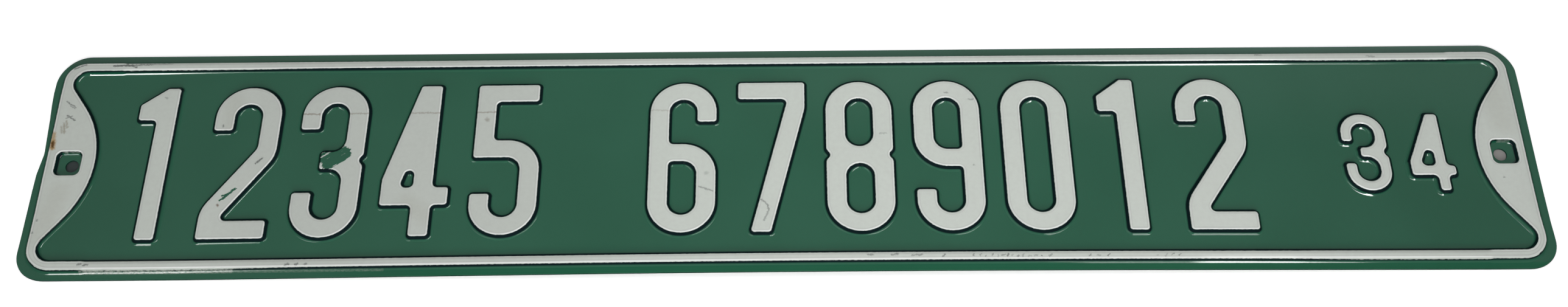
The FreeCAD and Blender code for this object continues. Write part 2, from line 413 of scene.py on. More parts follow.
def samples(outline):
    """Points round an outline, each with its outward normal and whether it is in a tight bend."""
    bends = []
    for index, (x, y, r) in enumerate(outline):
        here = Vector((x, y))
        into = (here - Vector(outline[index - 1][:2])).normalized()
        out = (Vector(outline[(index + 1) % len(outline)][:2]) - here).normalized()
        turn = math.atan2(into.cross(out), into.dot(out))
        if r == TIP:
            r = TIP_RADIUS
        if r == INSIDE:
            r = INSIDE_RADIUS
        side = math.copysign(1, turn)
        normal = Vector((into.y, -into.x))
        centre = here - into * r * math.tan(abs(turn) / 2) - normal * r * side
        step = min(max(BEND_STEP / r, LEAST_TURN), MOST_TURN)
        count = max(1, math.ceil(abs(turn) / step))
        bend = []
        for k in range(count + 1):
            n = Matrix.Rotation(turn * k / count, 2) @ normal
            bend.append((centre + n * r * side, n, r < TIGHT and 0 < k < count))
        bends.append(bend)
    ring = []
    for bend, following in zip(bends, bends[1:] + bends[:1]):
        ring += bend
        start, n, _ = bend[-1]
        straight = following[0][0] - start
        count = math.ceil(straight.length / SPACING)
        ring += [(start + straight * k / count, n, False) for k in range(1, count)]
    steps = [(here[0] - before[0]).length for before, here in zip(ring[-1:] + ring, ring)]
    return [sample for sample, step in zip(ring, steps) if step > NEAREST]


# The pressed sheet. Each vertex of the front has its twin on the back, a gauge behind it.


def ripples(x, y, x_length, y_length, which, lift):
    """Ripples of these lengths along X and Y, never below the flat sheet."""
    return lift * (1 + noise.noise(Vector((x / x_length, y / y_length, which))))


def bowed(x, y):
    """The sheet's bow, which lifts its middle and most of all its lower edge, and its ripples."""
    bow = max(1 - ((x - BOW_PLACE) / BOW_REACH) ** 2, 0) ** 1.5 * (BOW_LIFT - BOW_TWIST * y)
    return bow + ripples(x, y, *BROAD_RIPPLES) + ripples(x, y, *FINE_RIPPLES)


def blend(place, points):
    """A value along an axis from a short list of (place, value)."""
    places, values = zip(*points)
    return float(numpy.interp(place, places, values))


def pulled(ring, left, right):
    """The ring with its ends out of square."""
    made = []
    for point, n, tight in ring:
        share = min(max((abs(point.x) - PULL_START) / PULL_LENGTH, 0), 1)
        out = blend(point.y, right) if point.x > 0 else -blend(point.y, left)
        made.append((point + Vector((out * share, 0)), n, tight))
    return made


# How the enamel looks on a pressed wall: its shade, how far from the top's edge a painted shade
# keeps it dark, and its polish, how clean its gloss is. Age and handling took the gloss off most of
# the walls, and left it in stretches along X on those that face down the sign.

DULL = 0.12
NUMERAL_POLISH = ((-318, 0.45), (-306, DULL), (322, DULL), (334, 0.9))
INNER_POLISH_LEFT = ((-386, 1.0), (-350, 0.3), (-330, DULL), (160, DULL), (172, 0.5), (236, 0.6))
INNER_POLISH_RIGHT = ((246, 1.0), (304, 1.0), (318, 0.15), (414, 0.15))
STEP_POLISH = ((415, 1.0), (417, 1.0), (418, 0.15))
OUTER_POLISH_LEFT = ((-420, 0.6), (-410, 0.3), (-350, 0.5), (-322, 0.3), (-300, 0.1), (240, 0.1))
OUTER_POLISH_RIGHT = ((252, 1.0), (300, 1.0), (312, 0.3), (400, 0.3), (412, 0.1))


def plain_look(x, facing, tight):
    """Shade and polish of a wall, the same all round: x, facing and tight are not used."""
    return 1.0, 1.0


def shade_of(x, facing, middle, outer, up, down):
    """How far a wall's painted shade reaches, with what it gains outwards at the ends and facing up
    or down.
    """
    endwards = facing.x * blend(x, ((-380, -outer), (-300, 0), (300, 0), (380, outer)))
    return middle + endwards + (up if facing.y > 0 else down) * abs(facing.y)


def numeral_look(x, facing, tight):
    polish = DULL
    if tight:
        polish = 1.0 if facing.y < -0.97 else 0.25
    elif facing.y < -0.5:
        polish = blend(x, NUMERAL_POLISH)
    return shade_of(x, facing, 1.5, 0.6, 0.8, -0.1), polish


def inner_look(x, facing, tight):
    polish = 0.5 if tight else DULL
    if facing.y < -0.99:
        polish = blend(x, INNER_POLISH_LEFT + INNER_POLISH_RIGHT + STEP_POLISH)
    return shade_of(x, facing, 0.95, 0.15, 1.0, -0.2), polish


def outer_look(x, facing, tight):
    polish = 0.2
    if facing.y < -0.99:
        polish = blend(x, OUTER_POLISH_LEFT + OUTER_POLISH_RIGHT)
    return shade_of(x, facing, 0.9, 0.1, 0.2, 0.0), polish


def seat_look(x, facing, tight):
    return (0.4 if facing.y < -0.9 else 1.2), 1.0


class Sheet:
    """The sheet's vertices, each with its place, its normal and its marks, and its faces."""

    def __init__(self):
        self.front = []
        self.back = []
        self.faces = []
        self.walls = []

    def vertex(self, x, y, z, nx, ny, nz, marks, edge=False):
        """A vertex of the flat front and its twin, both carried along by the sheet's bow."""
        lift = bowed(x, y)
        slope_x = (bowed(x + 1, y) - bowed(x - 1, y)) / 2
        slope_y = (bowed(x, y + 1) - bowed(x, y - 1)) / 2
        # The back of a sheared edge mirrors its front.
        if edge:
            twin = (x, y, GAUGE - z, nx, ny, -nz)
        else:
            twin = (x - GAUGE * nx, y - GAUGE * ny, z - GAUGE * nz, -nx, -ny, -nz)
        for kept, (px, py, pz, ax, ay, az) in (self.front, (x, y, z, nx, ny, nz)), (self.back, twin):
            n = Vector((ax - slope_x * az, ay - slope_y * az, az)).normalized()
            kept.append(((px, py, pz + lift), n, marks))
        return len(self.front) - 1

    def loops(self, ring, stations, outwards=1, edge=False, look=plain_look):
        """Bands of faces along a ring of samples, one vertex of each station at each sample."""
        made = []
        last = len(stations(0)) - 1
        for step in range(last + 1):
            loop = []
            for point, n, tight in ring:
                reach, z, lean = stations(point.x)[step]
                x, y = point + n * reach * outwards
                tilt = math.sin(lean) * outwards
                shade, polish = look(point.x, n * outwards, tight)
                # A sheared edge takes the walls' painted shade where it leans past CUT_LEAN, and
                # keeps its gloss only on its first station.
                if edge:
                    reach = FIELD_REACH
                    shade = FIELD_REACH + 1 if lean > CUT_LEAN else shade
                    polish = float(step == 0)
                elif step in (0, last):
                    polish = 1.0
                normal = (n.x * tilt, n.y * tilt, math.cos(lean))
                loop.append(self.vertex(x, y, z, *normal, (reach, shade, polish), edge))
            made.append(loop)
        for inner, outer in zip(made, made[1:]):
            for k in range(len(ring)):
                face = (inner[k - 1], outer[k - 1], outer[k], inner[k])
                self.faces.append(face if outwards > 0 else face[::-1])
        return made

    def wall(self, loop, outwards=1):
        """Faces across the thickness, from a loop of the front to its twin."""
        for k in range(len(loop)):
            pair = (loop[k - 1], loop[k])
            self.walls.append(pair if outwards > 0 else pair[::-1])

    def fill(self, rings, z, reach, spaced=False):
        """Triangles of a level region between an outer loop and the loops of its openings."""
        indices = [index for ring in rings for index in ring]
        points = [Vector(self.front[index][0][:2]) for index in indices]
        edges = []
        for ring in rings:
            base = len(edges)
            edges += [(base + k, base + (k + 1) % len(ring)) for k in range(len(ring))]
        starts = numpy.array([points[a] for a, b in edges])
        ends = numpy.array([points[b] for a, b in edges])
        if spaced:
            tree = kdtree.KDTree(len(points))
            for k, point in enumerate(points):
                tree.insert((point.x, point.y, 0), k)
            tree.balance()
            grid = []
            columns = int(LENGTH / SPACING)
            rows = int(HEIGHT / ROW_SPACING)
            for i in range(-columns // 2, columns // 2 + 1):
                for j in range(-rows // 2, rows // 2 + 1):
                    x = (i + j % 2 / 2) * SPACING
                    y = j * ROW_SPACING
                    if tree.find((x, y, 0))[2] > SPACING / 2:
                        grid.append((x, y))
            grid = [p for p, kept in zip(grid, inside(numpy.array(grid), starts, ends)) if kept]
            for x, y in grid:
                indices.append(self.vertex(x, y, z, 0, 0, 1, (reach, 1.0, 1.0)))
                points.append(Vector((x, y)))
        whole_hull = 0
        tolerance = 1e-5
        made = delaunay_2d_cdt(points, edges, [], whole_hull, tolerance)
        found = [[made[3][k][0] for k in face] for face in made[2]]
        middles = numpy.array([sum((points[k] for k in face), Vector((0, 0))) / 3 for face in found])
        for face, kept in zip(found, inside(middles, starts, ends)):
            if kept:
                a, b, c = (points[k] for k in face)
                order = face if (b - a).cross(c - a) > 0 else face[::-1]
                self.faces.append(tuple(indices[k] for k in order))

    def mesh(self, name):
        count = len(self.front)
        kept = self.front + self.back
        faces = self.faces + [tuple(index + count for index in face[::-1]) for face in self.faces]
        faces += [(a, a + count, b + count, b) for a, b in self.walls]
        made = bpy.data.meshes.new(name)
        made.from_pydata([Vector(p) * MM for p, n, marks in kept], [], faces)
        made.validate()
        reach, shade, polish = zip(*(marks for p, n, marks in kept))
        side = [1.0] * count + [0.0] * count
        for label, values in ("reach", reach), ("shade", shade), ("polish", polish), ("side", side):
            made.attributes.new(label, "FLOAT", "POINT").data.foreach_set("value", values)
        # The plan of the front lies in the lower half of the texture's square, a metre wide, and
        # the plan of the back in the upper half.
        plan = made.uv_layers.new(name="plan")
        for loop in made.loops:
            p = kept[loop.vertex_index][0]
            middle = 0.25 if loop.vertex_index < count else 0.75
            plan.data[loop.index].uv = (0.5 + p[0] * MM, middle + p[1] * MM)
        for polygon in made.polygons:
            polygon.use_smooth = True
        made.normals_split_custom_set_from_vertices([n for p, n, marks in kept])
        return made


def inside(points, starts, ends):
    """Whether each point lies in the region bounded by the edges, by the even-odd rule."""
    crossings = numpy.zeros(len(points), dtype=int)
    for (x0, y0), (x1, y1) in zip(starts, ends):
        if y0 == y1:
            continue
        spans = (points[:, 1] >= min(y0, y1)) & (points[:, 1] < max(y0, y1))
        at = x0 + (points[:, 1] - y0) * (x1 - x0) / (y1 - y0)
        crossings += spans & (points[:, 0] < at)
    return crossings % 2 == 1


def pressed(slope, shoulder, foot, crown=0.0):
    """Stations across a pressed edge: reach from the top's edge, height and lean of the normal."""
    half = BAND / 2
    lean = 0.0
    drop = 0.0
    start = -shoulder * math.tan(slope / 2)
    crowned = []
    if crown:
        # The shoulder starts where the crown's slope has grown and still meets the same wall. A
        # few rounds settle that place.
        for _ in range(8):
            lean = math.atan(2 * crown * (half + start) / half**2)
            drop = crown * ((half + start) / half) ** 2
            fall = drop + shoulder * (math.cos(lean) - math.cos(slope))
            start = fall / math.tan(slope) - shoulder * (math.sin(slope) - math.sin(lean))
        for k in range(CROWN_STEPS):
            x = CREST + (half + start - CREST) * k / CROWN_STEPS
            crowned.append((x - half, -crown * (x / half) ** 2, math.atan(2 * crown * x / half**2)))
    else:
        crowned.append((min(-INNER_REACH, start - 0.1), 0, 0))
    made = [(reach, GAUGE + RISE + z, lean) for reach, z, lean in crowned]
    for k in range(SHOULDER_STEPS + 1):
        angle = lean + (slope - lean) * k / SHOULDER_STEPS
        reach = start + shoulder * (math.sin(angle) - math.sin(lean))
        fall = drop - shoulder * (math.cos(angle) - math.cos(lean))
        made.append((reach, GAUGE + RISE - fall, angle))
    end = RISE / math.tan(slope) + foot * math.tan(slope / 2)
    for k in range(FOOT_STEPS + 1):
        angle = slope * (FOOT_STEPS - k) / FOOT_STEPS
        made.append((end - foot * math.sin(angle), GAUGE + foot * (1 - math.cos(angle)), angle))
    return made


def sheared(radius, margin):
    """Stations over a sheared edge's rounding, from a margin before it."""
    made = [(-radius - margin, GAUGE, 0)]
    for k in range(EDGE_STEPS + 1):
        lean = math.pi / 2 * k / EDGE_STEPS
        made.append((-radius + radius * math.sin(lean), GAUGE - radius * (1 - math.cos(lean)), lean))
    return made


NUMERAL_STATIONS = pressed(NUMERAL_SLOPE, NUMERAL_SHOULDER, NUMERAL_FOOT)
SEAT_STATIONS = pressed(BORDER_SLOPE, SHOULDER, SEAT_FOOT)
EDGE_STATIONS = sheared(EDGE_RADIUS, 0.4)
HOLE_STATIONS = sheared(HOLE_EDGE_RADIUS, 0.05)
BEAD_STATIONS = pressed(BORDER_SLOPE, SHOULDER, BORDER_FOOT, CROWN)
FLAT_STATIONS = pressed(BORDER_SLOPE, SHOULDER, BORDER_FOOT, FLAT_CROWN)


def border_stations(x):
    """The border's stations: a bead along the middle, then a step out to the ends' flatter form."""
    share = min(max((abs(x) - BEAD_END + BEAD_STEP_HALF) / (2 * BEAD_STEP_HALF), 0), 1)
    made = []
    for (reach, z, lean), (flat_reach, flat_z, flat_lean) in zip(BEAD_STATIONS, FLAT_STATIONS):
        reach += (flat_reach + BEAD_STEP - reach) * share
        made.append((reach, z + (flat_z - z) * share, lean + (flat_lean - lean) * share))
    return made


sheet = Sheet()
sheet_ring = pulled(samples(sheet_outline()), SHEET_LEFT, SHEET_RIGHT)
edge = sheet.loops(sheet_ring, lambda x: EDGE_STATIONS, edge=True)
sheet.wall(edge[-1])
border_ring = pulled(samples(border_outline()), BORDER_LEFT, BORDER_RIGHT)
border = sheet.loops(border_ring, border_stations, look=outer_look)
opening = sheet.loops(samples(field_outline()), border_stations, outwards=-1, look=inner_look)
seats = []
for side in (-1, 1):
    outline = box_outline(SEAT_HALF_LENGTH, SEAT_HALF_HEIGHT, SEAT_RADIUS)
    ring = samples(moved(outline, side * SEAT_PLACE, 0))
    seat = sheet.loops(ring, lambda x: SEAT_STATIONS, outwards=-1, look=seat_look)
    seats.append(seat)
    outline = box_outline(HOLE_RADIUS, HOLE_RADIUS, HOLE_RADIUS)
    ring = samples(moved(outline, side * HOLE_PLACE, -HOLE_DROP))
    drilled = sheet.loops(ring, lambda x: HOLE_STATIONS, outwards=-1, edge=True)
    sheet.wall(drilled[-1], -1)
    sheet.fill([seat[-1], drilled[0]], GAUGE, FIELD_REACH)
sheet.fill([edge[0], border[-1]], GAUGE, FIELD_REACH)
sheet.fill([border[0], opening[0]] + [seat[0] for seat in seats], GAUGE + RISE, -INNER_REACH)
feet = []
for outer, counters in numerals():
    form = sheet.loops(samples(outer), lambda x: NUMERAL_STATIONS, look=numeral_look)
    feet.append(form[-1])
    holes = []
    for counter in counters:
        ring = samples(counter)
        holes.append(sheet.loops(ring, lambda x: NUMERAL_STATIONS, outwards=-1, look=numeral_look))
    sheet.fill([form[0]] + [hole[0] for hole in holes], GAUGE + RISE, -INNER_REACH)
    for hole in holes:
        sheet.fill([hole[-1]], GAUGE, FIELD_REACH)
sheet.fill([opening[-1]] + feet, GAUGE, FIELD_REACH, spaced=True)

sign = bpy.data.objects.new("sign_face", sheet.mesh("sign_face"))
bpy.context.scene.collection.objects.link(sign)
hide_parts("sign_panel")
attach(sign, "root")


# Materials


class Nodes:
    """A short way to add nodes to a material or group."""

    def __init__(self, tree):
        self.tree = tree

    def add(self, kind, settings=None, **inputs):
        """A node with its settings. An input is given by its name, or as i0 or i1 by its number."""
        node = self.tree.nodes.new(kind)
        for key, value in (settings or {}).items():
            setattr(node, key, value)
        for key, value in inputs.items():
            index = int(key[1:]) if key[0] == "i" and key[1:].isdigit() else key.replace("_", " ")
            if isinstance(value, bpy.types.NodeSocket):
                self.tree.links.new(value, node.inputs[index])
            else:
                node.inputs[index].default_value = value
        return node

    def math(self, operation, a, b=0.0, c=0.0, clamp=False):
        settings = {"operation": operation, "use_clamp": clamp}
        return self.add("ShaderNodeMath", settings, i0=a, i1=b, i2=c).outputs[0]

    def vector(self, operation, a, b=(0, 0, 0), output=0):
        node = self.add("ShaderNodeVectorMath", {"operation": operation}, i0=a, i1=b)
        return node.outputs[output]

    def attribute(self, name):
        return self.add("ShaderNodeAttribute", {"attribute_name": name}).outputs["Fac"]

    def coordinates(self, kind):
        return self.add("ShaderNodeTexCoord").outputs[kind]

    def axes(self, vector):
        return self.add("ShaderNodeSeparateXYZ", {}, Vector=vector).outputs

    def ramp(self, value, low, high):
        """A smooth rise from 0 at low to 1 at high, or a fall where low is the larger."""
        node = self.add("ShaderNodeMapRange", {"interpolation_type": "SMOOTHSTEP"}, Value=value)
        node.inputs["From Min"].default_value = low
        node.inputs["From Max"].default_value = high
        return node.outputs["Result"]

    def noise(self, where, scale, detail=3.0, roughness=0.5):
        inputs = {"Vector": where, "Scale": scale, "Detail": detail, "Roughness": roughness}
        return self.add("ShaderNodeTexNoise", {}, **inputs).outputs

    def mix(self, share, a, b):
        """The colour a, with a share of the colour b."""
        node = self.add("ShaderNodeMix", {"data_type": "RGBA"}, i0=share)
        for index, value in (6, a), (7, b):
            if isinstance(value, bpy.types.NodeSocket):
                self.tree.links.new(value, node.inputs[index])
            else:
                node.inputs[index].default_value = (*value, 1)
        return node.outputs[2]


def stroke_group():
    """A group that gives 1 on a stroke between two points and 0 away from it.

    It hands its point on to the next stroke, moved by next to nothing, so that the strokes are
    worked out one after another and the shader stays within its room.
    """
    group = bpy.data.node_groups.new("stroke", "ShaderNodeTree")
    inputs = {"Point": "Vector", "From": "Vector", "To": "Vector", "Width": "Float", "Fade": "Float"}
    for name, kind in inputs.items():
        group.interface.new_socket(name, in_out="INPUT", socket_type="NodeSocket" + kind)
    group.interface.new_socket("Mask", in_out="OUTPUT", socket_type="NodeSocketFloat")
    group.interface.new_socket("Point", in_out="OUTPUT", socket_type="NodeSocketVector")
    n = Nodes(group)
    given = group.nodes.new("NodeGroupInput").outputs
    along = n.vector("SUBTRACT", given["To"], given["From"])
    off = n.vector("SUBTRACT", given["Point"], given["From"])
    dot = n.vector("DOT_PRODUCT", off, along, "Value")
    span = n.vector("DOT_PRODUCT", along, along, "Value")
    share = n.math("DIVIDE", dot, n.math("MAXIMUM", span, 0.001), clamp=True)
    near = n.add("ShaderNodeVectorMath", {"operation": "SCALE"}, i0=along, Scale=share).outputs[0]
    gap = n.vector("DISTANCE", off, near, "Value")
    half = n.math("MULTIPLY", given["Width"], 0.5)
    past = n.math("DIVIDE", n.math("SUBTRACT", gap, half), given["Fade"])
    mask = n.math("SUBTRACT", 1.0, past, clamp=True)
    nudge = n.add("ShaderNodeCombineXYZ", {}, X=n.math("MULTIPLY", mask, 1e-6)).outputs[0]
    handed_on = n.vector("ADD", given["Point"], nudge)
    out = group.nodes.new("NodeGroupOutput")
    group.links.new(mask, out.inputs["Mask"])
    group.links.new(handed_on, out.inputs["Point"])
    return group


STROKE = stroke_group()


def strokes(n, where, marks):
    """The strongest of several strokes: each (x0, y0, x1, y1, width, fade, strength)."""
    total = 0.0
    for x0, y0, x1, y1, width, fade, strength in marks:
        node = n.tree.nodes.new("ShaderNodeGroup")
        node.node_tree = STROKE
        n.tree.links.new(where, node.inputs["Point"])
        where = node.outputs["Point"]
        node.inputs["From"].default_value = (x0, y0, 0)
        node.inputs["To"].default_value = (x1, y1, 0)
        node.inputs["Width"].default_value = width
        node.inputs["Fade"].default_value = fade
        total = n.math("MAXIMUM", n.math("MULTIPLY", node.outputs["Mask"], strength), total)
    return total


# Marks as strokes, in millimetres on the sign: ends, width, soft edge and strength.
CHIPS = (
    (-285, -1, -270, 8, 1.6, 2.0, 1.0),
    (-281, -1, -268, 6.5, 2.2, 2.0, 1.0),
    (-280, -3.5, -267, 4, 2.2, 2.0, 1.0),
    (-284, -9, -269, 1, 0.8, 2.0, 1.0),
    (-284, -10, -276, -5, 0.7, 0.6, 0.9),
    (-285.5, 2.5, -279, 6.5, 1.0, 0.7, 0.9),
    (-341, -26, -333, -18.5, 0.6, 0.9, 1.0),
    (-340, -23, -335, -21, 0.4, 0.8, 0.95),
)
DARK = (
    (-445, 33, -439.5, 29.2, 0.35, 0.5, 0.65),
    (-445.5, 30.9, -442, 32.5, 0.35, 0.5, 0.55),
    (-447.4, 42.7, -440.7, 38.5, 0.3, 0.5, 0.6),
    (-444.8, 40, -441.5, 38, 0.25, 0.5, 0.45),
    (-449, -38, -449, -38.4, 0.4, 0.5, 0.5),
    (-450, -46, -450, -46.3, 0.4, 0.5, 0.5),
    (-447, 66.3, -444.6, 67.4, 0.5, 0.5, 0.7),
    (-443.5, 68, -440.3, 69, 0.4, 0.5, 0.6),
    (-422.8, 68, -410.4, 68.4, 0.6, 0.6, 0.75),
    (-414.4, 69.1, -408.2, 66.8, 0.4, 0.5, 0.7),
    (-410.4, 68.4, -399, 68.9, 0.4, 0.5, 0.6),
    (-398, 68.9, -386, 69.1, 0.3, 0.5, 0.35),
    (-386, 45, -385, 44.5, 0.5, 0.7, 0.4),
    (-347, 25, -346.8, 24.5, 0.7, 0.6, 0.6),
    (-323, -1.5, -319.5, 2, 0.6, 0.6, 0.75),
    (-52, -21, -44, -24, 0.5, 0.6, 0.45),
    (-48, -12, -47.5, -12, 1.0, 1.2, 0.25),
    (-14.5, -30, -11, -33.5, 0.4, 0.6, 0.5),
    (-11, -33.5, -10, -37, 0.5, 0.6, 0.55),
    (-10, -37, -13, -44, 0.4, 0.6, 0.45),
    (58, 14.5, 62, 14.5, 0.3, 0.6, 0.35),
    (99, 43, 101, 43, 0.4, 0.6, 0.45),
    (114, 38, 116.5, 38, 0.4, 0.6, 0.45),
    (114, -8, 114.3, -8, 0.5, 0.6, 0.4),
    (434, -17.5, 434.2, -17.5, 0.5, 0.6, 0.5),
    (-418.8, -67, -416.8, -66.4, 0.5, 0.6, 0.6),
    (-415.5, -67.6, -413, -67, 0.6, 0.6, 0.65),
    (-295.5, -68.6, -293.6, -68.1, 0.6, 0.6, 0.6),
    (-289.6, -68.5, -288.4, -68.0, 0.6, 0.6, 0.6),
    (-284, -68.4, -282.8, -68.1, 0.5, 0.6, 0.55),
    (48, -66.9, 51, -66.7, 0.5, 0.6, 0.5),
    (62, -67.1, 66, -66.4, 0.4, 0.6, 0.5),
    (74, -67.4, 80, -67, 0.4, 0.6, 0.5),
    (296, 68.9, 300, 68.7, 0.3, 0.6, 0.4),
    (366, 67.4, 371, 67.2, 0.5, 0.6, 0.4),
)
# Short nicks along the lower band, by their places along X.
NICKS = (92, 110, 114, 117, 121, 124.5, 127, 130, 132.5, 136, 139, 142.5, 146, 150, 154.6, 178)
NICKS += (183, 189, 218, 223, 227, 231)
SMEAR = (
    (-444.8, 29, -443.6, 24.5, 0.5, 0.8, 0.55),
    (-446, 27.5, -444.6, 21, 0.5, 0.9, 0.6),
    (-447.2, 25, -446.2, 21, 0.4, 0.9, 0.5),
    (-342, 40, -340, 12, 6.0, 8.0, 0.12),
    (-228, -30, -216, -38, 4.0, 7.0, 0.12),
    (438, 50, 441, 20, 6.0, 8.0, 0.12),
    (-440, -20, -446, -50, 5.0, 7.0, 0.12),
)
RUST = ((-450.9, 20, -450.2, 15, 1.2, 1.6, 0.75), (-450.3, 15, -449.8, 10.6, 2.0, 1.4, 0.9))
# Painted highlights and glints: pale streaks along the lower band's outer wall and foot, and on the
# seats' upper walls.
PAINTED_GLINTS = (
    (-417, -71.2, -328, -71.1, 1.4, 0.8, 0.9),
    (-328, -71.5, -238, -71.7, 0.7, 0.7, 0.3),
    (-376.6, -71.6, -376.4, -70.2, 0.5, 0.4, 0.9),
    (-443, 7.75, -432, 7.75, 0.3, 0.3, 0.45),
    (-441.8, 7.75, -440.2, 7.75, 0.5, 0.3, 0.9),
    (436, 7.6, 443, 7.6, 0.5, 0.4, 0.45),
)
BROWN = (
    (-450.2, 14.2, -449.9, 11.2, 0.8, 1.0, 1.0),
    (-342, -29, -341.8, -29.3, 0.6, 0.8, 0.8),
    (-184, 27, -183.6, 26.6, 0.9, 1.4, 0.4),
    (-298, 32.2, -288, 32.0, 0.25, 0.7, 0.55),
    (-269, 32.1, -258, 32.3, 0.25, 0.7, 0.4),
    (-240, 32.2, -212, 32.0, 0.25, 0.7, 0.4),
    (-190, 32.0, -179, 32.2, 0.25, 0.7, 0.45),
    (-83, 32.2, -72, 32.0, 0.25, 0.7, 0.25),
)

# The coat's colours: its two broad tones, its grain, a painted shade where less light falls on it, a
# painted highlight along its edge, the line inside that, and then its marks.
COAT_LOW = (0.495, 0.533, 0.49)
COAT_HIGH = (0.535, 0.573, 0.53)
COAT_GRAIN = (0.40, 0.40, 0.385)
COAT_FALLOFF_SHADE = (0.2, 0.2, 0.2)
COAT_HIGHLIGHT = (0.78, 0.79, 0.78)
COAT_LINE = (0.36, 0.36, 0.35)
SMEAR_COLOUR = (0.22, 0.185, 0.12)
RUST_COLOUR = (0.36, 0.235, 0.085)
BROWN_COLOUR = (0.10, 0.048, 0.01)
DARK_COLOUR = (0.035, 0.04, 0.038)

# The green's colours: its two broad tones, the painted shade on the pressed walls, the painted
# highlights on it and the back. Then come the small lifts of painted reflection where the gloss is
# dull, on the field and on the upper rim, and the stronger green of the lower rim.
GREEN_LOW = (0.006, 0.080, 0.041)
GREEN_HIGH = (0.009, 0.088, 0.047)
GREEN_WALL_SHADE = (0.004, 0.008, 0.012)
GLINT_COLOUR = (0.30, 0.34, 0.30)
GREEN_BACK = (0.006, 0.075, 0.038)
DULL_REFLECTION_LIFT = (0.022, 0.022, 0.022)
SHEEN_LIFT = (0.011, 0.011, 0.011)
UPPER_RIM_SHEEN = (0.019, 0.006, 0.013)
UPPER_RIGHT_RIM_SHEEN = (0.047, 0.036, 0.046)
LOWER_RIM_LESS_GLARE = (-0.001, 0.006, -0.001)

# Roughness of the bare green and of the coat.
GREEN_ROUGHNESS = 0.07
COAT_ROUGHNESS = 0.45


